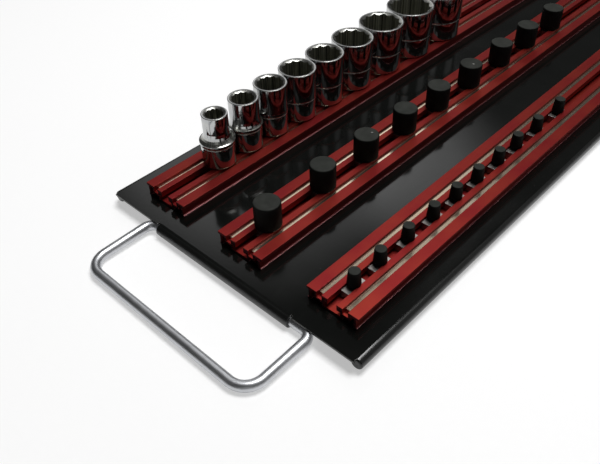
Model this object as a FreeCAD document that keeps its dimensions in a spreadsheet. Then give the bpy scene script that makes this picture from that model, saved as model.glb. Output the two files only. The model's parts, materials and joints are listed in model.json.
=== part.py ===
"""Three-rail socket tray: a rolled-edge sheet steel tray with a wire handle hinged at each end,
three aluminium rails riveted to it, and sliding clips whose studs hold sockets.

X runs across the tray towards the quarter-inch rail, Y along it from the near end to the far end,
and Z up. The origin is the middle of the tray, on the plane that its hinge rolls stand on.
"""
import FreeCAD
import Part
import math
import os

import Sketcher

SIZES = {
    # tray: one steel sheet, its long edges curled under, a hinge roll at the middle of each end
    "tray_length": 457.2,
    "tray_width": 153.5,
    "sheet_thickness": 0.9,
    "edge_wrap": 300.0,
    "curl_radius": 2.8,
    "curl_setback": 1.4,
    "curl_end_rounding": 1.0,
    "end_roll_length": 82.0,
    "end_roll_inset": 1.2,
    "end_roll_slit": 0.8,
    # handle: steel wire whose ends turn into the hinge rolls
    "wire_diameter": 4.76,
    "hinge_gap": 0.06,
    "handle_reach": 35.7,
    "handle_shift": 2.3,
    "handle_corner_radius": 9.0,
    "elbow_radius": 5.0,
    "elbow_gap": 4.0,
    "pin_reach": 20.0,
    "floor_gap": 0.06,
    # rails: three lengths of one hollow extrusion
    "left_margin": 13.85,
    "right_margin": 11.05,
    "rail_end_inset": 11.4,
    "left_rail_shift": -0.2,
    "middle_rail_shift": -0.7,
    "right_rail_shift": 1.2,
    "rail_width": 27.0,
    "rail_height": 6.35,
    "rail_wall": 1.2,
    "channel_width": 4.8,
    "inner_land": 3.0,
    "groove_width": 2.8,
    "groove_depth": 3.0,
    "slot_width": 8.8,
    "slot_height": 2.2,
    "land_overhang": 1.2,
    "foot_width": 0.4,
    "foot_height": 0.6,
    # bright strips laid in the two grooves of a rail
    "strip_thickness": 1.9,
    "strip_side_gap": 0.15,
    "strip_setback": 2.0,
    # rivets that fix the rails to the tray
    "rivet_diameter": 3.2,
    "rivet_head_diameter": 6.4,
    "rivet_head_height": 1.3,
    "rivet_hole_gap": 0.05,
    "rivet_upset_diameter": 5.0,
    "rivet_upset_depth": 0.8,
    "rivet_end_distance": 48.0,
    # sliders of the clips
    "slide_gap": 0.1,
    "slider_length": 10.6,
    "slider_drop": 1.3,
    "neck_diameter": 4.2,
    "spigot_diameter": 3.0,
    "spigot_gap": 0.05,
    # studs
    "stud_chamfer": 0.5,
    "shoulder_gap": 0.1,
    "quarter_drive": 6.35,
    "quarter_drive_gap": 0.07,
    "quarter_top_diameter": 5.2,
    "quarter_height": 7.4,
    "three_eighth_drive": 9.53,
    "three_eighth_drive_gap": 0.12,
    "three_eighth_height": 10.0,
    "half_drive": 12.7,
    "half_drive_gap": 0.15,
    "half_height": 12.9,
    # sockets on the three-eighth-inch rail
    "first_socket_from_end": 45.6,
    "socket_gap": 0.8,
    "socket_length": 27.3,
    "socket_step_height": 9.2,
    "socket_step": 0.5,
    "socket_chamfer": 0.5,
    "collar_diameter": 17.4,
    "collar_top": 12.5,
    "shoulder_top": 17.0,
    "mouth_wall": 0.8,
    "mouth_bevel": 1.2,
    "broach_depth": 12.0,
    "bolt_bore_ledge": 1.0,
    "drive_depth": 11.0,
}
# Distances of the clips from the near end of the tray, and the sockets' widths across flats.
QUARTER_FROM_END = [26.0, 42.7, 61.7, 80.3, 97.8, 115.7, 134.1, 151.0, 170.9, 193.7]
HALF_FROM_END = [28.4, 64.1, 95.4, 126.4, 155.6, 186.2, 218.3, 247.9, 278.9]
SOCKET_FLATS = [8.0, 10.0, 12.0, 14.0, 15.0, 17.0, 19.0, 21.0, 22.0]
SOCKET_DIAMETERS = [12.6, 15.0, 17.1, 19.6, 20.6, 23.0, 25.2, 27.6, 29.4]
RIVETS_PER_RAIL = 4

X_AXIS = FreeCAD.Vector(1, 0, 0)
Y_AXIS = FreeCAD.Vector(0, 1, 0)
Z_AXIS = FreeCAD.Vector(0, 0, 1)

doc = FreeCAD.newDocument("SocketTray")
sheet = doc.addObject("Spreadsheet::Sheet", "Sizes")


class Size:
    """A size with its value and the sheet expression that drives it."""

    def __init__(self, value, text):
        self.value = value
        self.text = text

    def __add__(self, other):
        other = as_size(other)
        return Size(self.value + other.value, "(%s + %s)" % (self.text, other.text))

    def __sub__(self, other):
        other = as_size(other)
        return Size(self.value - other.value, "(%s - %s)" % (self.text, other.text))

    def __mul__(self, other):
        other = as_size(other)
        return Size(self.value * other.value, "(%s * %s)" % (self.text, other.text))

    def __truediv__(self, other):
        other = as_size(other)
        return Size(self.value / other.value, "(%s / %s)" % (self.text, other.text))

    def __neg__(self):
        return Size(-self.value, "(-1 * %s)" % self.text)


def as_size(value):
    """Wrap a plain number so that it can stand beside a size."""
    if isinstance(value, Size):
        return value
    return Size(float(value), repr(float(value)))


def fill_sheet():
    """Write every driving dimension into the sheet and return them by name."""
    cells = dict(SIZES)
    for prefix, values in (("quarter_from_end", QUARTER_FROM_END),
                           ("half_from_end", HALF_FROM_END),
                           ("socket_flats", SOCKET_FLATS),
                           ("socket_diameter", SOCKET_DIAMETERS)):
        for index, value in enumerate(values, 1):
            cells["%s_%d" % (prefix, index)] = value
    named = {}
    for row, (alias, value) in enumerate(cells.items(), 1):
        sheet.set("A%d" % row, alias)
        sheet.set("B%d" % row, str(value))
        sheet.setAlias("B%d" % row, alias)
        named[alias] = Size(value, "Sizes." + alias)
    doc.recompute()
    return named


S = fill_sheet()

# Derived sizes that several pieces share.
ROLL_INNER = S["wire_diameter"] / 2 + S["hinge_gap"]
ROLL_OUTER = ROLL_INNER + S["sheet_thickness"]
TRAY_TOP = ROLL_OUTER * 2
HALF_LENGTH = S["tray_length"] / 2
ROLL_AXIS_Y = HALF_LENGTH - S["end_roll_inset"]
RAIL_LENGTH = S["tray_length"] - S["rail_end_inset"] * 2
LAND_TOP = TRAY_TOP + S["rail_height"]
SLOT_FLOOR = TRAY_TOP + S["rail_wall"]
RAIL_X = {
    "left_rail": S["left_margin"] + S["rail_width"] / 2 - S["tray_width"] / 2,
    "middle_rail": (S["left_margin"] - S["right_margin"]) / 2,
    "right_rail": S["tray_width"] / 2 - S["right_margin"] - S["rail_width"] / 2,
}


def bind(obj, **sizes):
    """Drive properties by name; the last word of a name may be x, y or z of the placement."""
    for name, size in sizes.items():
        path = "Placement.Base." + name if name in ("x", "y", "z") else name
        obj.setExpression(path, as_size(size).text)
    return obj


def primitive(kind, name, turn=None, **sizes):
    """A Part primitive with its sizes and place bound to the sheet."""
    obj = doc.addObject("Part::" + kind, name)
    if turn is not None:
        obj.Placement = FreeCAD.Placement(FreeCAD.Vector(), turn)
    return bind(obj, **sizes)


def fuse(name, shapes):
    obj = doc.addObject("Part::MultiFuse", name)
    obj.Shapes = shapes
    obj.Refine = True
    return obj


def cut(name, base, tool):
    obj = doc.addObject("Part::Cut", name)
    obj.Base = base
    obj.Tool = tool
    obj.Refine = True
    return obj


def group(name, solids):
    obj = doc.addObject("Part::Compound", name)
    obj.Links = solids
    return obj


def new_body(name):
    return doc.addObject("PartDesign::Body", name)


def origin_plane(body, role):
    for feature in body.Origin.OriginFeatures:
        if feature.Role == role:
            return feature
    raise ValueError(role)


def new_sketch(body, role, name):
    sketch = body.newObject("Sketcher::SketchObject", name)
    sketch.AttachmentSupport = (origin_plane(body, role), [""])
    sketch.MapMode = "FlatFace"
    return sketch


def vector(point):
    return FreeCAD.Vector(as_size(point[0]).value, as_size(point[1]).value, 0)


def end_at(sketch, edge, point):
    """Which end of an edge, 1 or 2, lies at the point."""
    distances = [sketch.getPoint(edge, end).distanceToPoint(vector(point)) for end in (1, 2)]
    return 1 + distances.index(min(distances))


def hold_point(sketch, edge, point):
    """Drive the end of an edge that lies at a point by its distances from the origin."""
    for kind, size in zip(("DistanceX", "DistanceY"), point):
        size = as_size(size)
        end = end_at(sketch, edge, point)
        index = sketch.addConstraint(Sketcher.Constraint(kind, -1, 1, edge, end, size.value))
        sketch.setExpression("Constraints[%d]" % index, size.text)


def draw(sketch, points, bends=None, closed=True):
    """Edges through the points; bends gives, for an edge's number, its corner and its radius."""
    bends = bends or {}
    following = points[1:] + points[:1] if closed else points[1:]
    for edge, (start, end) in enumerate(zip(points, following)):
        start, end = vector(start), vector(end)
        if edge in bends:
            corner, radius = bends[edge]
            centre = start + end - vector(corner)
            middle = centre + (vector(corner) - centre).normalize() * radius.value
            sketch.addGeometry(Part.Arc(start, middle, end), False)
            index = sketch.addConstraint(Sketcher.Constraint("Radius", edge, radius.value))
            sketch.setExpression("Constraints[%d]" % index, radius.text)
        else:
            sketch.addGeometry(Part.LineSegment(start, end), False)
    edges = len(following)
    for edge in range(edges):
        hold_point(sketch, edge, points[edge])
        if edge > 0 or closed:
            before = (edge - 1) % edges
            sketch.addConstraint(Sketcher.Constraint(
                "Coincident", before, end_at(sketch, before, points[edge]),
                edge, end_at(sketch, edge, points[edge])))
    if not closed:
        hold_point(sketch, edges - 1, points[-1])


def pad_outline(name, points, length):
    """A body padded along Y from an outline, half its length to each side of the origin."""
    body = new_body(name)
    sketch = new_sketch(body, "XZ_Plane", name + "_outline")
    draw(sketch, points)
    pad = body.newObject("PartDesign::Pad", name + "_pad")
    pad.Profile = sketch
    pad.SideType = "Symmetric"
    bind(pad, Length=length)
    return body


def turned(name, points, bends=None):
    """A body turned about Z from an outline of radii and heights."""
    body = new_body(name)
    sketch = new_sketch(body, "XZ_Plane", name + "_outline")
    draw(sketch, points, bends)
    revolution = body.newObject("PartDesign::Revolution", name + "_turn")
    revolution.Profile = sketch
    revolution.ReferenceAxis = (sketch, ["V_Axis"])
    revolution.Angle = 360
    return body


# ---------------------------------------------------------------- tray
def rolled_edge(name, outward, radius, distance, length):
    """A sheet edge rolled under: part of a tube that starts where the flat sheet ends.

    outward is the way the edge faces, radius is the outside of the tube, and distance is how
    far out its axis lies.
    """
    along = Z_AXIS.cross(outward)
    turn = FreeCAD.Rotation(Z_AXIS, outward, along, "XYZ")
    place = {
        "x": distance * outward.x - length / 2 * along.x,
        "y": distance * outward.y - length / 2 * along.y,
        "z": TRAY_TOP - radius,
    }
    outer = primitive("Cylinder", name + "_outer", turn, Radius=radius, Height=length,
                      Angle=S["edge_wrap"], **place)
    inner = primitive("Cylinder", name + "_inner", turn, Radius=radius - S["sheet_thickness"],
                      Height=length, **place)
    return cut(name, outer, inner)


def curl_end(name, side, end):
    """The closed end of a long edge's curl: a disc with a rounded rim. side and end are signs."""
    radius = S["curl_radius"]
    rim = S["curl_end_rounding"]
    depth = rim + S["sheet_thickness"]
    outline = [(0, 0), (radius - rim, 0), (radius, rim), (radius, depth), (0, depth)]
    disc = turned(name, outline, {1: ((radius, 0), rim)})
    disc.Placement = FreeCAD.Placement(FreeCAD.Vector(), FreeCAD.Rotation(X_AXIS, 90 * end))
    return bind(disc, x=(S["tray_width"] / 2 - radius) * side,
                y=(HALF_LENGTH - S["curl_setback"]) * end, z=TRAY_TOP - radius)


def rivet_places(rails):
    """Name and centre of each rivet in the rails: every rail has the same row of them."""
    first = S["rivet_end_distance"] - RAIL_LENGTH / 2
    span = RAIL_LENGTH - S["rivet_end_distance"] * 2
    for rail in rails:
        for index in range(RIVETS_PER_RAIL):
            y = first + span * (index / (RIVETS_PER_RAIL - 1))
            yield "%s_%d" % (rail, index + 1), RAIL_X[rail], y + S[rail + "_shift"]


def rivet_holes(name, rails):
    """One cutter with the clear holes for the shanks of the rivets in the rails."""
    radius = S["rivet_diameter"] / 2 + S["rivet_hole_gap"]
    cutters = []
    for place, x, y in rivet_places(rails):
        cutters.append(primitive("Cylinder", "%s_hole_%s" % (name, place), Radius=radius,
                                 Height=LAND_TOP, x=x, y=y))
    return fuse(name + "_holes", cutters)


def make_tray():
    flat_width = S["tray_width"] - S["curl_radius"] * 2
    flat = primitive("Box", "flat_sheet", Length=flat_width, Width=S["tray_length"],
                     Height=S["sheet_thickness"], x=-flat_width / 2, y=-HALF_LENGTH,
                     z=TRAY_TOP - S["sheet_thickness"])
    # The sheet stops at each end roll's axis, and a slit frees the roll from the sheet beside it.
    opening_length = S["end_roll_length"] + S["end_roll_slit"] * 2
    openings = []
    for name, y in (("near", -HALF_LENGTH), ("far", ROLL_AXIS_Y)):
        openings.append(primitive("Box", name + "_roll_opening", Length=opening_length,
                                  Width=S["end_roll_inset"], Height=LAND_TOP,
                                  x=-opening_length / 2, y=y))
    rolls = []
    for name, outward in (("near_roll", -Y_AXIS), ("far_roll", Y_AXIS)):
        rolls.append(rolled_edge(name, outward, ROLL_OUTER, ROLL_AXIS_Y, S["end_roll_length"]))
    curl_length = S["tray_length"] - (S["curl_setback"] + S["curl_end_rounding"]) * 2
    for name, side in (("left_curl", -1), ("right_curl", 1)):
        rolls.append(rolled_edge(name, X_AXIS * side, S["curl_radius"], flat_width / 2,
                                 curl_length))
        rolls.append(curl_end(name + "_near_end", side, -1))
        rolls.append(curl_end(name + "_far_end", side, 1))
    trimmed = cut("trimmed_sheet", flat, fuse("roll_openings", openings))
    formed = fuse("formed_sheet", [trimmed] + rolls)
    return cut("tray", formed, rivet_holes("tray", RAIL_X))


# ---------------------------------------------------------------- handles
def make_handle(name, side):
    """A wire bail: pins in the hinge roll, legs and a bar; side is -1 near and 1 far."""
    elbow = S["elbow_radius"]
    corner = S["handle_corner_radius"]
    leg_x = S["end_roll_length"] / 2 + S["elbow_gap"] + elbow
    reach = S["handle_reach"] * side
    pin_end = S["end_roll_length"] / 2 - S["pin_reach"]
    half = [(pin_end, as_size(0)), (leg_x - elbow, as_size(0)), (leg_x, elbow * side),
            (leg_x, reach - corner * side), (leg_x - corner, reach)]
    points = [(-x, y) for x, y in half] + half[::-1]
    bends = {1: ((-leg_x, 0), elbow), 3: ((-leg_x, reach), corner),
             5: ((leg_x, reach), corner), 7: ((leg_x, 0), elbow)}
    body = new_body(name)
    path = new_sketch(body, "XY_Plane", name + "_path")
    draw(path, points, bends, closed=False)
    section = new_sketch(body, "YZ_Plane", name + "_section")
    section.addGeometry(Part.Circle(FreeCAD.Vector(), Z_AXIS, S["wire_diameter"].value / 2), False)
    section.addConstraint(Sketcher.Constraint("Coincident", 0, 3, -1, 1))
    index = section.addConstraint(Sketcher.Constraint("Diameter", 0, S["wire_diameter"].value))
    section.setExpression("Constraints[%d]" % index, S["wire_diameter"].text)
    section.setExpression("AttachmentOffset.Base.z", (-pin_end).text)
    doc.recompute()
    pipe = body.newObject("PartDesign::AdditivePipe", name + "_wire")
    pipe.Profile = section
    pipe.Spine = (path, ["Edge%d" % (edge + 1) for edge in range(len(points) - 1)])
    # At rest the bar droops until it almost touches the plane that the tray stands on.
    drop = ROLL_OUTER - S["wire_diameter"] / 2 - S["floor_gap"]
    body.Placement = FreeCAD.Placement(FreeCAD.Vector(), FreeCAD.Rotation(X_AXIS * -side, 1))
    body.setExpression("Placement.Rotation.Angle", "asin(%s)" % (drop / S["handle_reach"]).text)
    return bind(body, x=S["handle_shift"], y=ROLL_AXIS_Y * side, z=ROLL_OUTER)


# ---------------------------------------------------------------- rails
def rail_outline():
    """Half of the extrusion's section, from the middle of its foot round to its slot."""
    wall = S["rail_wall"]
    height = S["rail_height"]
    block = S["channel_width"] / 2 + S["inner_land"]
    groove_side = block + S["groove_width"]
    groove_floor = height - S["groove_depth"]
    land_edge = S["rail_width"] / 2
    side = land_edge - S["land_overhang"]
    foot = side + S["foot_width"]
    slot_top = wall + S["slot_height"]
    return [
        (block, 0), (block, groove_floor - wall),
        (groove_side + wall, groove_floor - wall), (groove_side + wall, height - wall),
        (side - wall, height - wall), (side - wall, 0),
        (foot, 0), (foot, S["foot_height"]), (side, S["foot_height"]), (side, height - wall),
        (land_edge, height - wall), (land_edge, height),
        (groove_side, height), (groove_side, groove_floor), (block, groove_floor), (block, height),
        (S["channel_width"] / 2, height), (S["channel_width"] / 2, slot_top),
        (S["slot_width"] / 2, slot_top), (S["slot_width"] / 2, wall),
    ]


def mirrored(half):
    """A whole outline from its right half."""
    return half + [(-as_size(x), y) for x, y in reversed(half)]


def make_rail(rail):
    profile = pad_outline(rail + "_profile", mirrored(rail_outline()), RAIL_LENGTH)
    bind(profile, x=RAIL_X[rail], y=S[rail + "_shift"], z=TRAY_TOP)
    cutters = [rivet_holes(rail, [rail])]
    for place, x, y in rivet_places([rail]):
        cutters.append(upset("countersink_" + place, S["rivet_hole_gap"], x, y))
    return cut(rail, profile, fuse(rail + "_cutters", cutters))


def upset(name, gap, x, y):
    """The cone that a rivet's end is spread to, or with a gap the countersink for it."""
    return primitive("Cone", name, Radius1=S["rivet_diameter"] / 2 + gap,
                     Radius2=S["rivet_upset_diameter"] / 2 + gap,
                     Height=S["rivet_upset_depth"], x=x, y=y,
                     z=SLOT_FLOOR - S["rivet_upset_depth"])


def make_strips(rail):
    """The two bright strips that lie on the floors of a rail's grooves."""
    width = S["groove_width"] - S["strip_side_gap"] * 2
    length = RAIL_LENGTH - S["strip_setback"] * 2
    inner_side = S["channel_width"] / 2 + S["inner_land"] + S["strip_side_gap"]
    strips = []
    for name, x in (("left", -inner_side - width), ("right", inner_side)):
        strips.append(primitive("Box", "%s_%s_strip" % (rail, name), Length=width, Width=length,
                                Height=S["strip_thickness"], x=RAIL_X[rail] + x,
                                y=S[rail + "_shift"] - length / 2,
                                z=LAND_TOP - S["groove_depth"]))
    return group(rail + "_strips", strips)


def make_rivets():
    rivets = []
    underside = TRAY_TOP - S["sheet_thickness"]
    for place, x, y in rivet_places(RAIL_X):
        head = primitive("Cylinder", "rivet_head_" + place, Radius=S["rivet_head_diameter"] / 2,
                         Height=S["rivet_head_height"], x=x, y=y,
                         z=underside - S["rivet_head_height"])
        shank = primitive("Cylinder", "rivet_shank_" + place, Radius=S["rivet_diameter"] / 2,
                          Height=SLOT_FLOOR - underside, x=x, y=y, z=underside)
        spread = upset("rivet_upset_" + place, as_size(0), x, y)
        rivets.append(fuse("rivet_" + place, [head, shank, spread]))
    return group("rail_rivets", rivets)


# ---------------------------------------------------------------- clips
SLIDER_BOTTOM = SLOT_FLOOR + S["slide_gap"]
SLIDER_TOP = LAND_TOP - S["slider_drop"]


def make_slider(name, rail, y):
    """An inverted T that slides in a rail's slot, with a hole for the stud's spigot."""
    base = S["slot_width"] / 2 - S["slide_gap"]
    riser = S["channel_width"] / 2 - S["slide_gap"]
    shoulder = S["slot_height"] - S["slide_gap"] * 2
    half = [(base, 0), (base, shoulder), (riser, shoulder), (riser, SLIDER_TOP - SLIDER_BOTTOM)]
    blank = pad_outline(name + "_blank", mirrored(half), S["slider_length"])
    bind(blank, x=RAIL_X[rail], y=y, z=SLIDER_BOTTOM)
    hole = primitive("Cylinder", name + "_hole", Height=LAND_TOP,
                     Radius=S["spigot_diameter"] / 2 + S["spigot_gap"], x=RAIL_X[rail], y=y)
    return cut(name, blank, hole)


def make_stud(name, rail, y, drive, height):
    """A turned stud: a spigot in the slider, a neck through the channel and a post above."""
    base = S[drive + "_drive"] / 2 - S[drive + "_drive_gap"]
    top = S["quarter_top_diameter"] / 2 if drive == "quarter" else base
    spigot = S["spigot_diameter"] / 2
    neck = S["neck_diameter"] / 2
    seat = SLIDER_TOP - SLIDER_BOTTOM
    shoulder = LAND_TOP - SLIDER_BOTTOM + S["shoulder_gap"]
    peak = LAND_TOP - SLIDER_BOTTOM + height
    stud = turned(name, [
        (0, 0), (spigot, 0), (spigot, seat), (neck, seat), (neck, shoulder), (base, shoulder),
        (top, peak - S["stud_chamfer"]), (top - S["stud_chamfer"], peak), (0, peak),
    ])
    return bind(stud, x=RAIL_X[rail], y=y, z=SLIDER_BOTTOM)


# ---------------------------------------------------------------- sockets
def socket_radius(index):
    """Largest radius of a socket: its mouth's or, on a small one, its collar's."""
    mouth = S["socket_diameter_%d" % index] / 2
    collar = S["collar_diameter"] / 2
    return mouth if mouth.value > collar.value else collar


def socket_places():
    """Place along the tray of each socket: side by side, with the same gap between them."""
    y = S["first_socket_from_end"] - HALF_LENGTH
    for index in range(1, len(SOCKET_DIAMETERS) + 1):
        if index > 1:
            y = y + socket_radius(index - 1) + S["socket_gap"] + socket_radius(index)
        yield index, y


def make_socket(index, y):
    """A twelve-point socket, mouth up, with its square drive over a stud."""
    name = "socket_%d" % index
    mouth = S["socket_diameter_%d" % index] / 2
    flats = S["socket_flats_%d" % index]
    length = S["socket_length"]
    chamfer = S["socket_chamfer"]
    wide = socket_radius(index)
    foot = wide - S["socket_step"]
    outline = [(0, 0), (foot - chamfer, 0), (foot, chamfer), (foot, S["socket_step_height"]),
               (wide, S["socket_step_height"])]
    if wide is not mouth and wide.value > mouth.value:
        outline += [(wide, S["collar_top"]), (mouth, S["shoulder_top"])]
    outline += [(mouth, length - chamfer), (mouth - chamfer, length), (0, length)]
    blank = bind(turned(name + "_blank", outline), x=RAIL_X["left_rail"], y=y, z=LAND_TOP)
    top = LAND_TOP + length
    place = {"x": RAIL_X["left_rail"], "y": y}
    points = []
    for turn in (0, 30):
        points.append(primitive("Prism", "%s_points_%d" % (name, turn),
                                FreeCAD.Rotation(Z_AXIS, turn), Polygon=6,
                                Circumradius=flats / math.sqrt(3), Height=S["broach_depth"],
                                z=top - S["broach_depth"], **place))
    bevel = primitive("Cone", name + "_bevel", Radius1=flats / 2, Radius2=mouth - S["mouth_wall"],
                      Height=S["mouth_bevel"], z=top - S["mouth_bevel"], **place)
    bore = primitive("Cylinder", name + "_bore", Radius=flats / 2 - S["bolt_bore_ledge"],
                     Height=length - S["drive_depth"], z=LAND_TOP + S["drive_depth"], **place)
    drive = S["three_eighth_drive"]
    square = primitive("Box", name + "_square", Length=drive, Width=drive,
                       Height=S["drive_depth"], x=place["x"] - drive / 2, y=y - drive / 2,
                       z=LAND_TOP)
    return cut(name, blank, fuse(name + "_cutters", points + [bevel, bore, square]))


# ---------------------------------------------------------------- assembly
def make_parts():
    """Every sub-part, in the order it goes together."""
    parts = [make_tray(), make_handle("near_handle", -1), make_handle("far_handle", 1)]
    for rail in RAIL_X:
        parts += [make_rail(rail), make_strips(rail)]
    parts.append(make_rivets())
    for index in range(1, len(QUARTER_FROM_END) + 1):
        y = S["quarter_from_end_%d" % index] - HALF_LENGTH
        parts.append(make_slider("quarter_slider_%d" % index, "right_rail", y))
        parts.append(make_stud("quarter_stud_%d" % index, "right_rail", y, "quarter",
                               S["quarter_height"]))
    for index in range(1, len(HALF_FROM_END) + 1):
        y = S["half_from_end_%d" % index] - HALF_LENGTH
        parts.append(make_clip("half_clip_%d" % index, "middle_rail", y, "half"))
    for index, y in socket_places():
        parts.append(make_clip("three_eighth_clip_%d" % index, "left_rail", y, "three_eighth"))
        parts.append(make_socket(index, y))
    return parts


def make_clip(name, rail, y, drive):
    """A clip kept together: its slider and its stud, as two solids."""
    return group(name, [make_slider(name + "_slider", rail, y),
                        make_stud(name + "_stud", rail, y, drive, S[drive + "_height"])])


def check(parts):
    """Stop if any object failed, or if a sub-part's shape is missing or broken."""
    for obj in doc.Objects:
        if {"Invalid", "Error"} & set(obj.State):
            raise RuntimeError("%s failed: %s" % (obj.Name, obj.State))
    for part in parts:
        if part.Shape.isNull() or not part.Shape.isValid() or not part.Shape.Solids:
            raise RuntimeError("%s has no valid solid" % part.Name)


def main():
    parts = make_parts()
    doc.recompute()
    check(parts)
    os.makedirs("parts", exist_ok=True)
    for part in parts:
        part.Label = part.Name
        part.Shape.exportStep("parts/%s.step" % part.Label)
        print("%-24s %2d solid(s) %10.1f mm3" % (part.Label, len(part.Shape.Solids),
                                                 part.Shape.Volume))


main()
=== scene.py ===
"""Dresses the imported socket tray: finer meshes for what is turned or bent, a finish for every
surface, a pale floor, soft light and the camera. Lengths are in metres, in the model's own
frame: X across the tray, Y along it and Z up."""
import bpy
import bmesh
import json
import math
from mathutils import Matrix, Vector


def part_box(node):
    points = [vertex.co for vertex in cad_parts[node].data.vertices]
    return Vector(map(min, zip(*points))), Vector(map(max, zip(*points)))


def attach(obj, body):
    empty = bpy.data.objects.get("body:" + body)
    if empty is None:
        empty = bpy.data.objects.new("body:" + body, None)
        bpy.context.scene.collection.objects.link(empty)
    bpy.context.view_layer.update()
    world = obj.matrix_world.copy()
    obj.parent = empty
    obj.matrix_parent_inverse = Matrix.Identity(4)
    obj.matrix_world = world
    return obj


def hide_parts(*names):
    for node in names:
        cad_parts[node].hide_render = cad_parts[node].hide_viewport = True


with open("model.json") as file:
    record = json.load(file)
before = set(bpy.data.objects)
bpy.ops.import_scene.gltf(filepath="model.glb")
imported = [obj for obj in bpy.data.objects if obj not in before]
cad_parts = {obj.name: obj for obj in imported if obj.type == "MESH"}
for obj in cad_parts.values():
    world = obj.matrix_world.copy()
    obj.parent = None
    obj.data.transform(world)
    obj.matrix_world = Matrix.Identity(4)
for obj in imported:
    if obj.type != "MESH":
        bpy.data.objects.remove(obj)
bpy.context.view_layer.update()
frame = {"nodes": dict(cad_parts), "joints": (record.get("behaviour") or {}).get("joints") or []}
MM = 0.001

# ---------------------------------------------------------------- sizes of the finer meshes
# The main sizes are the solids' own. The heights of the sockets' step, collar and shoulder, and
# the bevels and roundings of the edges, follow the photograph more closely here.
SOCKET_FLATS = [flats * MM for flats in (8, 10, 12, 14, 15, 17, 19, 21, 22)]
SOCKETS = len(SOCKET_FLATS)
MOUTH_DIAMETERS = [size * MM for size in (12.6, 15.0, 17.1, 19.6, 20.6, 23.0, 25.2, 27.6, 29.4)]
SOCKET_STEP = 0.5 * MM
SOCKET_STEP_HEIGHT = 11.4 * MM
COLLAR_TOP = 13.4 * MM
COLLAR_MARGIN = 0.1 * MM
SHOULDER_TOP = 18.4 * MM
SHOULDER_DEGREES = range(0, 91, 18)
MOUTH_WALL = 0.8 * MM
MOUTH_SLOPE = 0.5
GROOVE = 0.45 * MM
FOOT_BEVEL = 0.8 * MM
FOOT_BEVEL_STEEPNESS = 1.2
FOOT_START = 0.9
SOCKET_ROUNDING = 0.55 * MM
BROACH_DEPTH = 12.0 * MM
BROACH_RUN_OUT = 0.3 * MM
BOLT_BORE_LEDGE = 1.0 * MM
DRIVE_DEPTH = 11.0 * MM
DRIVE_SQUARE = 9.53 * MM
DRIVE_LEAD_IN = 0.4 * MM
FOOT_LIP = 0.7 * MM

WIRE_RADIUS = 2.38 * MM
HANDLE_LEG_X = 50.0 * MM
HANDLE_PIN_END = 21.0 * MM
HANDLE_REACH = 35.7 * MM
HANDLE_CORNER = 9.0 * MM
HANDLE_ELBOW = 5.0 * MM

SLIDER_LENGTH = 10.6 * MM
SLIDER_HALF_WIDTH = 4.3 * MM
SLIDER_SHOULDER = 2.0 * MM
RISER_HALF_WIDTH = 2.3 * MM
SLIDER_HEIGHT = 3.75 * MM

SPIGOT_RADIUS = 1.5 * MM
NECK_RADIUS = 2.1 * MM
SHOULDER_GAP = 0.1 * MM
HALF_POST_RADIUS = 6.2 * MM
THREE_EIGHTH_POST_RADIUS = 4.645 * MM
QUARTER_POST_TAPER = 0.5 * MM
QUARTER_CLIPS = 10
POST_ROUNDING = 0.9 * MM
POST_ROUNDING_SHARE = 0.22

# The gate marks, by the number of the half-inch clip: how far each is from its post's middle.
GATE_MARKS = {3: (1.4 * MM, 2.3 * MM), 6: (1.7 * MM, -0.6 * MM)}
GATE_MARK_RADIUS = 0.7 * MM
GATE_MARK_TOP_RADIUS = 0.55 * MM
GATE_MARK_HEIGHT = 0.3 * MM
GATE_MARK_SUNK = 0.05 * MM
GATE_MARK_ROUNDING = 0.1 * MM

# ---------------------------------------------------------------- fineness of the meshes
TURN_SIDES = 192
POST_SIDES = 96
GATE_MARK_SIDES = 32
WIRE_SIDES = 48
ELBOW_STEPS = 12
CORNER_STEPS = 16
ROUNDING_STEPS = 4
ROUNDING_REACH = 0.45
STRAIGHT_TURN = math.radians(4)
SMOOTH_ANGLE = math.radians(32)
WELD_REACH = 0.0001 * MM
# The dome at a wire's end: how far past the end and how wide, as shares of the wire's radius.
END_DOME = ((0.1, 0.94), (0.16, 0.8), (0.19, 0.0))


# ---------------------------------------------------------------- mesh helpers
def new_object(name, vertices, faces, materials):
    """A mesh object that is shaded smooth wherever two faces meet at under SMOOTH_ANGLE."""
    mesh = bpy.data.meshes.new(name)
    mesh.from_pydata(vertices, [], faces)
    mesh.validate()
    for material in materials:
        mesh.materials.append(material)
    mesh.shade_smooth()
    mesh.set_sharp_from_angle(angle=SMOOTH_ANGLE)
    piece = bpy.data.objects.new(name, mesh)
    bpy.context.scene.collection.objects.link(piece)
    return piece


def weld(piece):
    """Join the points that lie on one another, as at the ends of a turned or swept piece."""
    work = bmesh.new()
    work.from_mesh(piece.data)
    bmesh.ops.remove_doubles(work, verts=work.verts, dist=WELD_REACH)
    work.to_mesh(piece.data)
    work.free()


def rounded(outline, radius):
    """An open outline of (r, z) points with each inner corner rounded off."""
    points = [Vector(point) for point in outline]
    result = [points[0]]
    for before, corner, after in zip(points, points[1:], points[2:]):
        back = before - corner
        ahead = after - corner
        turn = math.pi - back.angle(ahead)
        if turn < STRAIGHT_TURN:
            result.append(corner)
            continue
        reach = min(radius * math.tan(turn / 2), ROUNDING_REACH * back.length,
                    ROUNDING_REACH * ahead.length)
        start = corner + back.normalized() * reach
        end = corner + ahead.normalized() * reach
        for step in range(ROUNDING_STEPS + 1):
            share = step / ROUNDING_STEPS
            result.append(start * (1 - share) ** 2 + corner * 2 * share * (1 - share)
                          + end * share ** 2)
    result.append(points[-1])
    return [tuple(point) for point in result]


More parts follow.
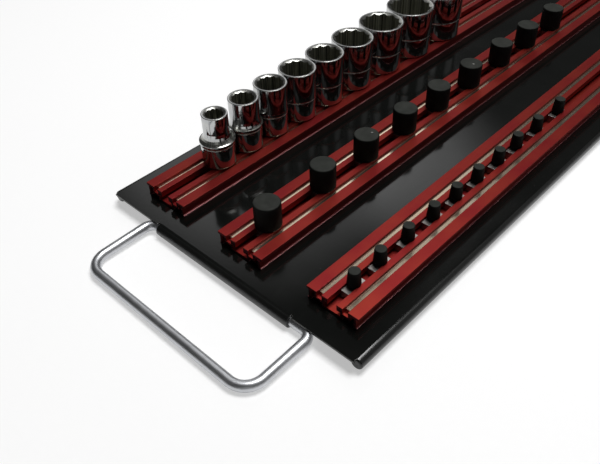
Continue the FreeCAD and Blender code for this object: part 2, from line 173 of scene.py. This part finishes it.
def turned(rings, centre, sides):
    """Vertices and faces of a surface turned about Z: each ring is (r, z), where each may be a
    number or a function of the angle. The last ring joins the first unless both are at r = 0."""
    def at(value, angle):
        return value(angle) if callable(value) else value

    vertices = []
    for radius, height in rings:
        for side in range(sides):
            angle = 2 * math.pi * side / sides
            r = at(radius, angle)
            vertices.append((centre[0] + r * math.cos(angle), centre[1] + r * math.sin(angle),
                             centre[2] + at(height, angle)))
    faces = []
    closed = rings[0][0] != 0 or rings[-1][0] != 0
    pairs = len(rings) if closed else len(rings) - 1
    for ring in range(pairs):
        low = ring * sides
        high = (ring + 1) % len(rings) * sides
        for side in range(sides):
            after = (side + 1) % sides
            faces.append((low + side, low + after, high + after, high + side))
    return vertices, faces


def join(*parts):
    """One list of vertices and one of faces from several; also each face's part number."""
    vertices = []
    faces = []
    numbers = []
    for number, (more_vertices, more_faces) in enumerate(parts):
        start = len(vertices)
        vertices += more_vertices
        faces += [tuple(start + index for index in face) for face in more_faces]
        numbers += [number] * len(more_faces)
    return vertices, faces, numbers


def swept(path, radius):
    """A round wire along a path in one plane, closed at its ends with shallow domes."""
    count = len(path)
    normal = (path[1] - path[0]).cross(path[count // 2] - path[0]).normalized()
    stations = []
    for index, point in enumerate(path):
        ahead = path[min(index + 1, count - 1)] - path[max(index - 1, 0)]
        stations.append((point, ahead.normalized(), radius))
    for end, way in ((0, -1), (-1, 1)):
        point, ahead, _ = stations[end]
        dome = [(point + ahead * way * radius * rise, ahead, radius * wide)
                for rise, wide in END_DOME]
        stations = dome[::-1] + stations if way < 0 else stations + dome
    vertices = []
    for point, ahead, wide in stations:
        side = normal.cross(ahead)
        for step in range(WIRE_SIDES):
            angle = 2 * math.pi * step / WIRE_SIDES
            vertices.append(point + (side * math.cos(angle) + normal * math.sin(angle)) * wide)
    faces = []
    for ring in range(len(stations) - 1):
        low = ring * WIRE_SIDES
        high = (ring + 1) * WIRE_SIDES
        for step in range(WIRE_SIDES):
            after = (step + 1) % WIRE_SIDES
            faces.append((low + step, low + after, high + after, high + step))
    return vertices, faces


# ---------------------------------------------------------------- material helpers
MM_PER_METRE = 1000
BEVEL_SAMPLES = 6
NOISE_SPAN = (0.3, 0.7)             # where nearly all values of a noise texture lie
EDGE_SPAN = (0.995, 0.8)            # cosines of the turn at which an edge starts and is full
SPOT_CORE = 0.6                     # share of a spot's radius that is fully inside it
LINES_ALONG_Y = (1, 0.004, 1)       # stretch that draws noise out into lines along the rails
COLOUR_A = 6                        # the Mix node's sockets for colours
COLOUR_B = 7
COLOUR_RESULT = 2


class Finish:
    """One procedural material: a Principled shader and the nodes that feed it."""

    def __init__(self, name, **sockets):
        self.material = bpy.data.materials.new(name)
        self.material.use_nodes = True
        self.nodes = self.material.node_tree.nodes
        self.links = self.material.node_tree.links
        self.shader = self.nodes["Principled BSDF"]
        for socket, value in sockets.items():
            self.shader.inputs[socket.replace("_", " ")].default_value = value

    def add(self, kind, inputs=None, **settings):
        """A node with its settings, and inputs given as numbers or as other nodes' outputs."""
        node = self.nodes.new("ShaderNode" + kind)
        for key, value in settings.items():
            setattr(node, key, value)
        for key, value in (inputs or {}).items():
            self.feed(node.inputs[key], value)
        return node

    def feed(self, socket, value):
        """Link another node's output to a socket, or write a plain value or colour in it."""
        if isinstance(value, bpy.types.NodeSocket):
            self.links.new(value, socket)
        else:
            socket.default_value = value

    def set(self, socket, value):
        """Feed one of the shader's own sockets."""
        self.feed(self.shader.inputs[socket], value)

    def place(self, stretch=(1, 1, 1)):
        """Object coordinates in millimetres, each axis multiplied by stretch."""
        here = self.add("TexCoord").outputs["Object"]
        scale = [MM_PER_METRE * share for share in stretch]
        return self.add("Mapping", {"Vector": here, "Scale": scale}).outputs["Vector"]

    def noise(self, per_mm, detail=2.0, stretch=(1, 1, 1), roughness=0.5):
        """Noise from 0 to 1 with so many waves to the millimetre."""
        return self.noise_at(self.place(stretch), per_mm, detail, roughness)

    def noise_at(self, vector, scale, detail, roughness):
        """Noise from 0 to 1 at the given texture coordinates."""
        return self.add("TexNoise", {"Vector": vector, "Scale": scale, "Detail": detail,
                                     "Roughness": roughness}).outputs["Fac"]

    def spots(self, per_mm, size):
        """1 inside small round spots scattered about per_mm to the millimetre, else 0."""
        cells = self.add("TexVoronoi", {"Vector": self.place(), "Scale": per_mm})
        return self.ramp(cells.outputs["Distance"], (size, size * SPOT_CORE))

    def range(self, value, old, new):
        """The value, stretched evenly from the old range to the new one and kept inside it."""
        node = self.add("MapRange", {"Value": value, "From Min": old[0], "From Max": old[1],
                                     "To Min": new[0], "To Max": new[1]})
        return node.outputs["Result"]

    def ramp(self, value, span=NOISE_SPAN, top=1):
        """0 at the start of the span, and top at its end."""
        return self.range(value, span, (0, top))

    def math(self, operation, first, second=0.0):
        return self.add("Math", {0: first, 1: second}, operation=operation).outputs["Value"]

    def times(self, first, second):
        return self.math("MULTIPLY", first, second)

    def plus(self, first, second):
        return self.math("ADD", first, second)

    def larger(self, first, second):
        return self.math("MAXIMUM", first, second)

    def blend(self, share, first, second):
        """The first colour at share 0 and the second at 1."""
        node = self.add("Mix", {"Factor": share}, data_type="RGBA")
        for socket, colour in ((COLOUR_A, first), (COLOUR_B, second)):
            self.feed(node.inputs[socket], (*colour, 1) if isinstance(colour, tuple) else colour)
        return node.outputs[COLOUR_RESULT]

    def part(self, vector, axis):
        return self.add("SeparateXYZ", {"Vector": vector}).outputs[axis]

    def edges(self, width):
        """1 along edges that stick out or fold in, and 0 on open faces; width in millimetres."""
        soft = self.add("Bevel", {"Radius": width * MM}, samples=BEVEL_SAMPLES)
        true = self.add("NewGeometry").outputs["Normal"]
        turn = self.add("VectorMath", {0: soft.outputs["Normal"], 1: true},
                        operation="DOT_PRODUCT")
        return self.ramp(turn.outputs["Value"], EDGE_SPAN)

    def facing(self, axis):
        """How far the surface faces along a model axis, either way: 0 to 1."""
        normal = self.add("NewGeometry").outputs["Normal"]
        return self.math("ABSOLUTE", self.part(normal, axis))

    def bump(self, *layers, edge=0.0):
        """Layers of (height from 0 to 1, depth in millimetres), over edges of a small radius."""
        normal = None
        if edge:
            soft = self.add("Bevel", {"Radius": edge * MM}, samples=BEVEL_SAMPLES)
            normal = soft.outputs["Normal"]
        for height, depth in layers:
            node = self.add("Bump", {"Height": height, "Distance": depth * MM})
            if normal is not None:
                self.feed(node.inputs["Normal"], normal)
            normal = node.outputs["Normal"]
        self.set("Normal", normal)


# ---------------------------------------------------------------- finishes
def black_paint():
    """Gloss black stoved paint: faint orange peel, smears, hairline scratches, dust, pale edges
    that are partly wear and partly a painted highlight, and a duller gloss where the sheet is
    rolled under."""
    deep_black = (0.0032, 0.0036, 0.0032)
    smeared_black = (0.0048, 0.0052, 0.0046)
    dust_grey = (0.05, 0.05, 0.048)
    wear_and_highlight_grey = (0.16, 0.16, 0.15)
    f = Finish("black_paint", IOR=1.5)
    smears = f.noise(0.035, detail=4.0)
    scratches = f.noise(2.2, detail=1.0, stretch=(1, 0.03, 1))
    hairline = f.ramp(scratches, (0.72, 0.76))
    dust = f.spots(0.22, size=0.03)
    # Pale edges: partly wear, partly a painted highlight where the cut edge catches the light.
    wear_and_painted_light = f.edges(0.35)
    rolled = f.ramp(f.facing("Z"), (0.995, 0.93))
    tone = f.blend(f.ramp(smears), deep_black, smeared_black)
    tone = f.blend(f.times(dust, 0.35), tone, dust_grey)
    tone = f.blend(f.times(wear_and_painted_light, 0.8), tone, wear_and_highlight_grey)
    f.set("Base Color", tone)
    rough = f.range(smears, (0.3, 0.75), (0.09, 0.16))
    rough = f.plus(rough, f.times(hairline, 0.06))
    rough = f.plus(rough, f.times(rolled, 0.2))
    f.set("Roughness", f.plus(rough, f.times(dust, 0.3)))
    orange_peel = f.noise(0.7)
    f.bump((orange_peel, 0.006), (hairline, -0.002), (dust, 0.015), edge=0.25)
    return f.material


def red_anodising():
    """Red anodised extrusion: lines along its length, paler arrises, sawn ends painted near black
    as shade with lighter saw marks, and a raised line along the foot of its outer walls, bumped
    out and painted pale pink as a highlight."""
    even_red = (0.235, 0.014, 0.016)
    clouded_red = (0.28, 0.028, 0.018)
    line_red = (0.36, 0.036, 0.028)
    arris_red = (0.38, 0.08, 0.07)
    painted_foot_highlight = (0.75, 0.36, 0.38)
    sawn_end_shade = (0.03, 0.004, 0.004)
    sawn_light = (0.3, 0.05, 0.07)
    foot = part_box("left_rail")[0].z / MM
    bead_full = foot + 0.1
    bead_top = foot + 0.9
    f = Finish("red_anodising", Metallic=0.8, Specular_IOR_Level=0.3)
    lines = f.noise(3.5, detail=3.0, stretch=LINES_ALONG_Y, roughness=0.7)
    cloud = f.noise(0.06, detail=3.0)
    arris = f.edges(0.22)
    sawn = f.ramp(f.facing("Y"), (0.9, 0.95))
    saw_marks = f.noise(1.1, stretch=(0.25, 1, 4), roughness=0.6)
    bead_and_highlight = f.ramp(f.part(f.place(), "Z"), (bead_top, bead_full))
    tone = f.blend(f.ramp(cloud), even_red, clouded_red)
    tone = f.blend(f.ramp(lines, (0.62, 0.8), 0.35), tone, line_red)
    tone = f.blend(f.times(arris, 0.35), tone, arris_red)
    # The raised line at the foot is painted pale pink as a highlight.
    tone = f.blend(f.times(bead_and_highlight, 0.8), tone, painted_foot_highlight)
    # The sawn ends are painted near black as shade, with lighter saw marks.
    ends = f.blend(f.ramp(saw_marks, (0.52, 0.7)), sawn_end_shade, sawn_light)
    f.set("Base Color", f.blend(sawn, tone, ends))
    rough = f.range(lines, NOISE_SPAN, (0.4, 0.48))
    f.set("Roughness", f.plus(rough, f.times(sawn, 0.06)))
    marks = f.times(saw_marks, sawn)
    wall = f.times(bead_and_highlight, f.ramp(f.facing("X"), (0.9, 0.95)))
    f.bump((lines, 0.004), (marks, 0.03), (wall, 2.5), edge=0.18)
    return f.material


def bright_strip():
    """Rolled strip with a warm mirror shine and fine lines along it."""
    dull_straw = (0.70, 0.55, 0.41)
    bright_straw = (0.78, 0.64, 0.50)
    f = Finish("bright_strip", Metallic=1.0)
    lines = f.noise(6.0, stretch=LINES_ALONG_Y, roughness=0.7)
    cloud = f.noise(0.05)
    f.set("Base Color", f.blend(f.ramp(cloud, (0.35, 0.65)), dull_straw, bright_straw))
    f.set("Roughness", f.range(lines, NOISE_SPAN, (0.18, 0.27)))
    f.bump((lines, 0.002), edge=0.1)
    return f.material


def socket_chrome():
    """Chrome plate over a lightly polished forging: slow waves, finger smears and tiny pits. The
    shoulder is part satin, and the broached inside, which the mesh marks, is streaked satin."""
    plate_dark = (0.42, 0.43, 0.44)
    plate_light = (0.50, 0.50, 0.49)
    streak_dark = (0.10, 0.10, 0.08)
    streak_light = (0.52, 0.52, 0.45)
    f = Finish("socket_chrome", Metallic=1.0)
    smears = f.noise(0.22, detail=4.0)
    pits = f.spots(0.9, size=0.05)
    marks = f.add("UVMap").outputs["UV"]
    inside = f.part(marks, "X")
    around = f.add("CombineXYZ", {"X": f.part(marks, "Y"), "Y": 0.0}).outputs["Vector"]
    streaks = f.noise_at(around, 34.0, detail=3.0, roughness=0.6)
    up = f.facing("Z")
    shoulder = f.times(f.ramp(up, (0.2, 0.35)), f.range(up, (0.9, 0.97), (1, 0)))
    satin = f.larger(inside, f.times(shoulder, 0.6))
    plate = f.blend(f.ramp(smears), plate_dark, plate_light)
    broached = f.blend(f.ramp(streaks, (0.42, 0.58)), streak_dark, streak_light)
    f.set("Base Color", f.blend(satin, plate, broached))
    rough = f.range(smears, (0.35, 0.75), (0.05, 0.16))
    rough = f.plus(rough, f.times(satin, 0.34))
    f.set("Roughness", f.plus(rough, f.times(pits, 0.2)))
    waves = f.noise(0.3, detail=1.5)
    grain = f.noise(3.0)
    f.bump((waves, 0.05), (grain, 0.001), (pits, -0.01))
    return f.material


def zinc_wire():
    """Bright zinc over drawn wire: faint grey lines along it and slightly cloudy plate.
    The mesh carries the distance along the wire and around it as its texture coordinates."""
    zinc_dark = (0.52, 0.53, 0.55)
    zinc_light = (0.62, 0.63, 0.65)
    line_grey = (0.46, 0.47, 0.49)
    f = Finish("zinc_wire", Metallic=1.0)
    here = f.add("UVMap").outputs["UV"]
    drawn = f.add("Mapping", {"Vector": here, "Scale": (0.01, 1.1, 1)}).outputs["Vector"]
    lines = f.noise_at(drawn, 1.0, detail=2.0, roughness=0.5)
    cloud = f.noise(0.12, detail=3.0)
    tone = f.blend(f.ramp(cloud), zinc_dark, zinc_light)
    f.set("Base Color", f.blend(f.ramp(lines, (0.55, 0.75), 0.5), tone, line_grey))
    f.set("Roughness", f.range(cloud, NOISE_SPAN, (0.36, 0.42)))
    f.bump((lines, 0.006))
    return f.material


def plated_steel(name, bright):
    """Bright plated steel with a fine grain, a little darker between the bright places."""
    dull_share = 0.82
    dull = tuple(dull_share * part for part in bright)
    f = Finish(name, Metallic=1.0)
    grain = f.noise(2.5, detail=3.0, stretch=(1, 0.15, 1))
    f.set("Base Color", f.blend(f.ramp(grain), dull, bright))
    f.set("Roughness", f.range(grain, NOISE_SPAN, (0.32, 0.44)))
    f.bump((grain, 0.004), edge=0.2)
    return f.material


def black_moulding(name, gloss, painted_lit_top_pale):
    """Black moulded plastic with a fine eroded texture, painted greyer where it faces up, as the
    light that falls on its tops.
    """
    moulded_black = (0.004, 0.0044, 0.004)
    clouded_black = (0.007, 0.0074, 0.0066)
    painted_lit_top_dark = (0.026, 0.028, 0.025)
    scuff_grey = (0.04, 0.04, 0.038)
    f = Finish(name, IOR=1.46, Specular_IOR_Level=gloss)
    texture = f.noise(3.2, detail=3.0)
    cloud = f.noise(0.25, detail=3.0)
    scuffs = f.ramp(f.noise(1.1, stretch=(1, 1, 0.25)), (0.68, 0.78))
    # The faces that look up are painted greyer, as the light that falls on the tops.
    painted_lit_top = f.ramp(f.facing("Z"), (0.6, 0.95))
    clean = f.blend(f.ramp(cloud), moulded_black, clouded_black)
    wear_and_painted_light = f.blend(f.ramp(cloud), painted_lit_top_dark, painted_lit_top_pale)
    tone = f.blend(painted_lit_top, clean, wear_and_painted_light)
    f.set("Base Color", f.blend(f.times(scuffs, 0.3), tone, scuff_grey))
    f.set("Roughness", f.range(texture, NOISE_SPAN, (0.45, 0.6)))
    f.bump((texture, 0.012), (cloud, 0.02))
    return f.material


def pale_floor():
    """White paper: it takes shadows, and shows as plain white where nothing shades it."""
    paper_dark = (0.64, 0.64, 0.64)
    paper_light = (0.68, 0.68, 0.68)
    glow = 0.45
    f = Finish("pale_floor", Roughness=0.9)
    f.set("Base Color", f.blend(f.noise(0.4), paper_dark, paper_light))
    path = f.add("LightPath").outputs
    seen = f.larger(path["Is Camera Ray"], path["Is Glossy Ray"])
    seen = f.larger(seen, path["Is Transmission Ray"])
    f.set("Emission Color", (1, 1, 1, 1))
    f.set("Emission Strength", f.times(seen, glow))
    return f.material


PAINT = black_paint()
RED = red_anodising()
STRIP = bright_strip()
CHROME = socket_chrome()
ZINC = zinc_wire()
STEEL = plated_steel("slider_steel", bright=(0.46, 0.43, 0.41))
RIVET = plated_steel("rivet_metal", bright=(0.62, 0.62, 0.63))
MOULDING = black_moulding("black_moulding", gloss=0.06, painted_lit_top_pale=(0.038, 0.040, 0.036))
# The gate marks' tops are painted light grey as a glint.
GATE_GLINT = black_moulding("gate_mark_painted_glint", gloss=0.5, painted_lit_top_pale=(0.30, 0.30, 0.28))


# ---------------------------------------------------------------- pieces
def dress(node, material):
    """Give a CAD node its finish and smooth shading on its round faces."""
    mesh = frame["nodes"][node].data
    mesh.materials.clear()
    mesh.materials.append(material)
    mesh.shade_smooth()
    mesh.set_sharp_from_angle(angle=SMOOTH_ANGLE)


def polygon(sides, half_width, angle, turn=0.0):
    """Distance from the middle of a regular polygon to its outline, at an angle; turn is the
    angle by which its first flat is turned back from the X axis."""
    sector = 2 * math.pi / sides
    return half_width / math.cos((angle + turn + sector / 2) % sector - sector / 2)


def star(flats, angle):
    """Radius of a twelve-point opening, flats wide, at an angle: two hexagons laid crosswise."""
    return max(polygon(6, flats / 2, angle), polygon(6, flats / 2, angle, math.pi / 6))


def make_socket(number):
    """A twelve-point socket: turned outside, broached mouth, round bore and square drive."""
    node = "socket_%d" % number
    low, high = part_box(node)
    centre = ((low.x + high.x) / 2, (low.y + high.y) / 2, low.z)
    length = high.z - low.z
    wide = (high.x - low.x) / 2
    foot = wide - SOCKET_STEP
    mouth = MOUTH_DIAMETERS[number - 1] / 2
    flats = SOCKET_FLATS[number - 1]
    rim = mouth - MOUTH_WALL
    bore = flats / 2 - BOLT_BORE_LEDGE

    def drive(angle):
        return polygon(4, DRIVE_SQUARE / 2, angle)

    def lead_in(angle):
        return min(drive(angle) + DRIVE_LEAD_IN, foot - FOOT_LIP)

    def broach(angle):
        return star(flats, angle)

    def mouth_bevel(angle):
        return length - MOUTH_SLOPE * (rim - star(flats, angle))

    # The first point is there for the foot's rounding to start from, and is then left out.
    outside = [(rim * FOOT_START, 0), (foot - FOOT_BEVEL, 0),
               (foot, FOOT_BEVEL * FOOT_BEVEL_STEEPNESS),
               (foot, SOCKET_STEP_HEIGHT - GROOVE / 2), (foot - GROOVE, SOCKET_STEP_HEIGHT),
               (wide, SOCKET_STEP_HEIGHT + GROOVE)]
    if wide > mouth + COLLAR_MARGIN:
        for degrees in SHOULDER_DEGREES:
            turn = math.radians(degrees)
            outside.append((wide - (wide - mouth) * math.sin(turn),
                            SHOULDER_TOP - (SHOULDER_TOP - COLLAR_TOP) * math.cos(turn)))
    outside += [(mouth, length), (rim, length)]
    outside = rounded(outside, SOCKET_ROUNDING)[1:]
    inside = [(broach, mouth_bevel), (broach, length - BROACH_DEPTH),
              (bore, length - BROACH_DEPTH - BROACH_RUN_OUT), (bore, DRIVE_DEPTH),
              (drive, DRIVE_DEPTH), (drive, DRIVE_LEAD_IN), (lead_in, 0)]
    vertices, faces = turned(outside + inside, centre, TURN_SIDES)
    piece = new_object("dressed_" + node, vertices, faces, [CHROME])
    mark_inside(piece, len(outside))
    weld(piece)
    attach(piece, node)
    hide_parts(node)


def mark_inside(piece, outer_rings):
    """Texture coordinates: the first is 1 on the broached and bored surfaces, a half on the
    bevel that leads into them and 0 elsewhere; the second runs round the socket and back."""
    layer = piece.data.uv_layers.new(name="inside")
    for face in piece.data.polygons:
        ring = min(face.vertices) // TURN_SIDES
        if ring >= outer_rings:
            inside = 1.0
        elif ring == outer_rings - 1:
            inside = 0.5
        else:
            inside = 0.0
        for index in face.loop_indices:
            step = piece.data.loops[index].vertex_index % TURN_SIDES
            layer.data[index].uv = (inside, abs(step / TURN_SIDES * 2 - 1))


def slider(centre, bottom):
    """An inverted T along Y; each of its ends is a face for the foot and one for the riser."""
    outline = [(-SLIDER_HALF_WIDTH, 0), (SLIDER_HALF_WIDTH, 0),
               (SLIDER_HALF_WIDTH, SLIDER_SHOULDER), (RISER_HALF_WIDTH, SLIDER_SHOULDER),
               (RISER_HALF_WIDTH, SLIDER_HEIGHT), (-RISER_HALF_WIDTH, SLIDER_HEIGHT),
               (-RISER_HALF_WIDTH, SLIDER_SHOULDER), (-SLIDER_HALF_WIDTH, SLIDER_SHOULDER)]
    foot_corners = (0, 1, 2, 3, 6, 7)
    riser_corners = (3, 4, 5, 6)
    count = len(outline)
    vertices = []
    for y in (-SLIDER_LENGTH / 2, SLIDER_LENGTH / 2):
        vertices += [(centre[0] + x, centre[1] + y, bottom + z) for x, z in outline]
    faces = [(i, (i + 1) % count, count + (i + 1) % count, count + i) for i in range(count)]
    for start, way in ((0, -1), (count, 1)):
        for corners in (foot_corners, riser_corners):
            faces.append(tuple(start + corner for corner in corners[::way]))
    return vertices, faces


def post(centre, bottom, land, top, base_radius, top_radius):
    """A turned post, given the heights of its slider's bottom, of the rail's land and of its own
    top: spigot, neck, and the body that a socket's square drive goes over."""
    seat = land - bottom + SHOULDER_GAP
    outline = [(0, 0), (SPIGOT_RADIUS, 0), (SPIGOT_RADIUS, SLIDER_HEIGHT),
               (NECK_RADIUS, SLIDER_HEIGHT), (NECK_RADIUS, seat), (base_radius, seat),
               (top_radius, top - bottom), (0, top - bottom)]
    outline = rounded(outline, min(POST_ROUNDING, POST_ROUNDING_SHARE * top_radius))
    return turned(outline, (*centre, bottom), POST_SIDES)


def make_clip(node, body, radius):
    """A clip of one node: its slider and its post, each with its own finish."""
    low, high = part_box(node)
    centre = ((low.x + high.x) / 2, (low.y + high.y) / 2)
    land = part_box("middle_rail")[1].z
    vertices, faces, numbers = join(slider(centre, low.z),
                                    post(centre, low.z, land, high.z, radius, radius))
    piece = new_object("dressed_" + node, vertices, faces, [STEEL, MOULDING])
    for face, number in zip(piece.data.polygons, numbers):
        face.material_index = number
    weld(piece)
    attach(piece, body)
    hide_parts(node)


def make_quarter_post(node, body):
    """A tapered post for quarter-inch drive, over a slider that stays the CAD's own."""
    low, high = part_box(node)
    centre = ((low.x + high.x) / 2, (low.y + high.y) / 2)
    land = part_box("right_rail")[1].z
    base = (high.x - low.x) / 2
    vertices, faces = post(centre, low.z, land, high.z, base, base - QUARTER_POST_TAPER)
    piece = new_object("dressed_" + node, vertices, faces, [MOULDING])
    weld(piece)
    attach(piece, body)
    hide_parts(node)


def quarter_arc(centre, radius, start, steps):
    """Points of a quarter turn about a centre in the XY plane, from an angle in degrees."""
    points = []
    for step in range(steps + 1):
        angle = math.radians(start + 90 * step / steps)
        points.append(centre + Vector((math.cos(angle), math.sin(angle), 0)) * radius)
    return points


def make_handle(node, side):
    """The wire bail, swept in its own plane and laid down to its drooping rest place."""
    elbow_centre = Vector((HANDLE_LEG_X - HANDLE_ELBOW, HANDLE_ELBOW, 0))
    corner_centre = Vector((HANDLE_LEG_X - HANDLE_CORNER, HANDLE_REACH - HANDLE_CORNER, 0))
    half = [Vector((HANDLE_PIN_END, 0, 0))]
    half += quarter_arc(elbow_centre, HANDLE_ELBOW, -90, ELBOW_STEPS)
    half += quarter_arc(corner_centre, HANDLE_CORNER, 0, CORNER_STEPS)
    mirrored = [Vector((-point.x, point.y, 0)) for point in half]
    path = mirrored + half[::-1]
    vertices, faces = swept(path, WIRE_RADIUS)
    joint = next(j for j in frame["joints"] if j["name"] == node + "_swing")
    low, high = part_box(node)
    axis_point = Vector(joint["pos_m"])
    axis_point.x = (low.x + high.x) / 2
    droop = math.asin((axis_point.z - low.z - WIRE_RADIUS) / HANDLE_REACH)
    place = (Matrix.Translation(axis_point) @ Matrix.Rotation(-side * droop, 4, "X")
             @ Matrix.Diagonal((1, side, 1, 1)))
    if side < 0:
        # The mirroring turns the faces inside out, so they are turned back.
        faces = [face[::-1] for face in faces]
    piece = new_object("dressed_" + node, [place @ vertex for vertex in vertices], faces, [ZINC])
    lay_lines_along(piece, len(vertices) // WIRE_SIDES, path)
    weld(piece)
    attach(piece, node)
    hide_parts(node)


def lay_lines_along(piece, rings, path):
    """Texture coordinates in millimetres: the first runs along the wire, and the second halfway
    around it and back."""
    layer = piece.data.uv_layers.new(name="along")
    spans = [0.0]
    for before, after in zip(path, path[1:]):
        spans.append(spans[-1] + (after - before).length)
    dome_rings = (rings - len(path)) // 2
    lengths = [spans[0]] * dome_rings + spans + [spans[-1]] * dome_rings
    around = 2 * math.pi * WIRE_RADIUS
    for loop in piece.data.loops:
        ring, step = divmod(loop.vertex_index, WIRE_SIDES)
        share = abs(step / WIRE_SIDES * 2 - 1)
        layer.data[loop.index].uv = (lengths[ring] / MM, share * around / MM / 2)


def make_gate_marks():
    """The small round gate marks on the tops of two of the half-inch posts, with tops painted
    light grey as a glint.
    """
    outline = [(0, 0), (GATE_MARK_RADIUS, 0), (GATE_MARK_TOP_RADIUS, GATE_MARK_HEIGHT),
               (0, GATE_MARK_HEIGHT)]
    rings = rounded(outline, GATE_MARK_ROUNDING)
    for number, (x, y) in GATE_MARKS.items():
        node = "half_clip_%d" % number
        low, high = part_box(node)
        centre = ((low.x + high.x) / 2 + x, (low.y + high.y) / 2 + y, high.z - GATE_MARK_SUNK)
        vertices, faces = turned(rings, centre, GATE_MARK_SIDES)
        piece = new_object("gate_mark_%d" % number, vertices, faces, [GATE_GLINT])
        weld(piece)
        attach(piece, node)


def dress_everything():
    """Give every CAD node its finish, or a finer mesh where it is turned or bent."""
    dress("tray", PAINT)
    for rail in ("left_rail", "middle_rail", "right_rail"):
        dress(rail, RED)
        dress(rail + "_strips", STRIP)
    dress("rail_rivets", RIVET)
    make_handle("near_handle", -1)
    make_handle("far_handle", 1)
    for number in range(1, QUARTER_CLIPS + 1):
        dress("quarter_slider_%d" % number, STEEL)
        make_quarter_post("quarter_stud_%d" % number, "quarter_clip_%d" % number)
    for number in range(1, SOCKETS + 1):
        for clip, radius in (("half_clip_%d" % number, HALF_POST_RADIUS),
                             ("three_eighth_clip_%d" % number, THREE_EIGHTH_POST_RADIUS)):
            make_clip(clip, clip, radius)
        make_socket(number)
    make_gate_marks()


# ---------------------------------------------------------------- floor, light and camera
# The camera that was fitted to the photograph; its frame is in pixels and its angles in degrees:
# heading from +Y towards -X, tilt above the level, and roll about its own axis.
IMAGE_WIDTH = 600
IMAGE_HEIGHT = 464
FOCAL_PIXELS = 686.69
CENTRE_PIXEL = (318.23, 234.58)
CAMERA_PLACE = Vector((169.848, -349.910, 213.228)) * MM
CAMERA_HEADING = 42.8545
CAMERA_TILT = -42.6903
CAMERA_ROLL = -0.9536
SENSOR_WIDTH = 36.0
NEAR_CLIP = 0.01

FLOOR_REACH = 6.0
KEY_PLACE = Vector((0.04, 0.16, 1.2))
KEY_TARGET = Vector((0.0, -0.08, 0.0))
KEY_SIDE = 0.55
KEY_WATTS = 12.5
ROOM_RADIANCE = 0.05
# The soft panels of the room, with angles in degrees: the azimuth from +Y towards -X, and how far
# from its middle each one starts to fade (even) and has faded out (gone).
PANELS = [{"azimuth": 32.0, "elevation": 37.3, "even": 0.0, "gone": 7.0, "radiance": 1.0},
          {"azimuth": 48.0, "elevation": 31.0, "even": 10.0, "gone": 16.0, "radiance": 0.9},
          {"azimuth": 222.0, "elevation": 22.0, "even": 6.0, "gone": 20.0, "radiance": 0.4},
          {"azimuth": 315.0, "elevation": 28.0, "even": 8.0, "gone": 30.0, "radiance": 0.25}]


def make_camera():
    """The photograph's camera. Unturned, it looks straight down, so 90 degrees bring it level."""
    data = bpy.data.cameras.new("camera")
    data.sensor_width = SENSOR_WIDTH
    data.lens = FOCAL_PIXELS / IMAGE_WIDTH * SENSOR_WIDTH
    data.shift_x = (IMAGE_WIDTH / 2 - CENTRE_PIXEL[0]) / IMAGE_WIDTH
    data.shift_y = (CENTRE_PIXEL[1] - IMAGE_HEIGHT / 2) / IMAGE_WIDTH
    data.clip_start = NEAR_CLIP
    camera = bpy.data.objects.new("camera", data)
    camera.matrix_world = (Matrix.Translation(CAMERA_PLACE)
                           @ Matrix.Rotation(math.radians(CAMERA_HEADING), 4, "Z")
                           @ Matrix.Rotation(math.radians(90 + CAMERA_TILT), 4, "X")
                           @ Matrix.Rotation(math.radians(CAMERA_ROLL), 4, "Z"))
    bpy.context.scene.collection.objects.link(camera)
    bpy.context.scene.camera = camera


def make_floor():
    """A square of white paper under the part, far wider than the picture."""
    mesh = bpy.data.meshes.new("floor")
    corners = [(-1, -1), (1, -1), (1, 1), (-1, 1)]
    mesh.from_pydata([(x * FLOOR_REACH, y * FLOOR_REACH, 0) for x, y in corners], [],
                     [(0, 1, 2, 3)])
    mesh.materials.append(pale_floor())
    floor = bpy.data.objects.new("floor", mesh)
    bpy.context.scene.collection.objects.link(floor)


def make_key_light():
    """One square lamp high over the tray, which also casts its soft shadow on the floor."""
    data = bpy.data.lights.new("key", "AREA")
    data.shape = "SQUARE"
    data.size = KEY_SIDE
    data.energy = KEY_WATTS
    lamp = bpy.data.objects.new("key", data)
    lamp.location = KEY_PLACE
    lamp.rotation_euler = (KEY_TARGET - KEY_PLACE).to_track_quat("-Z", "Y").to_euler()
    bpy.context.scene.collection.objects.link(lamp)


def direction(azimuth, elevation):
    """The unit vector at an azimuth from +Y towards -X and an elevation, both in degrees."""
    flat = math.cos(math.radians(elevation))
    return Vector((-math.sin(math.radians(azimuth)) * flat,
                   math.cos(math.radians(azimuth)) * flat, math.sin(math.radians(elevation))))


def make_world():
    """A dim room with four soft panels: two beyond the tray's left side, one before it on the
    right and one beyond it on the right."""
    world = bpy.data.worlds.new("studio")
    world.use_nodes = True
    nodes = world.node_tree.nodes
    links = world.node_tree.links
    total = None
    for panel in PANELS:
        here = nodes.new("ShaderNodeTexCoord").outputs["Generated"]
        near = nodes.new("ShaderNodeVectorMath")
        near.operation = "DOT_PRODUCT"
        near.inputs[1].default_value = direction(panel["azimuth"], panel["elevation"])
        links.new(here, near.inputs[0])
        fade = nodes.new("ShaderNodeMapRange")
        fade.interpolation_type = "SMOOTHSTEP"
        fade.inputs["From Min"].default_value = math.cos(math.radians(panel["gone"]))
        fade.inputs["From Max"].default_value = math.cos(math.radians(panel["even"]))
        fade.inputs["To Max"].default_value = panel["radiance"]
        links.new(near.outputs["Value"], fade.inputs["Value"])
        add = nodes.new("ShaderNodeMath")
        links.new(fade.outputs["Result"], add.inputs[0])
        if total is None:
            add.inputs[1].default_value = ROOM_RADIANCE
        else:
            links.new(total, add.inputs[1])
        total = add.outputs["Value"]
    background = nodes["Background"]
    background.inputs["Color"].default_value = (1, 1, 1, 1)
    links.new(total, background.inputs["Strength"])
    bpy.context.scene.world = world


dress_everything()
make_floor()
make_world()
make_key_light()
make_camera()
bpy.context.scene.view_settings.view_transform = "Standard"
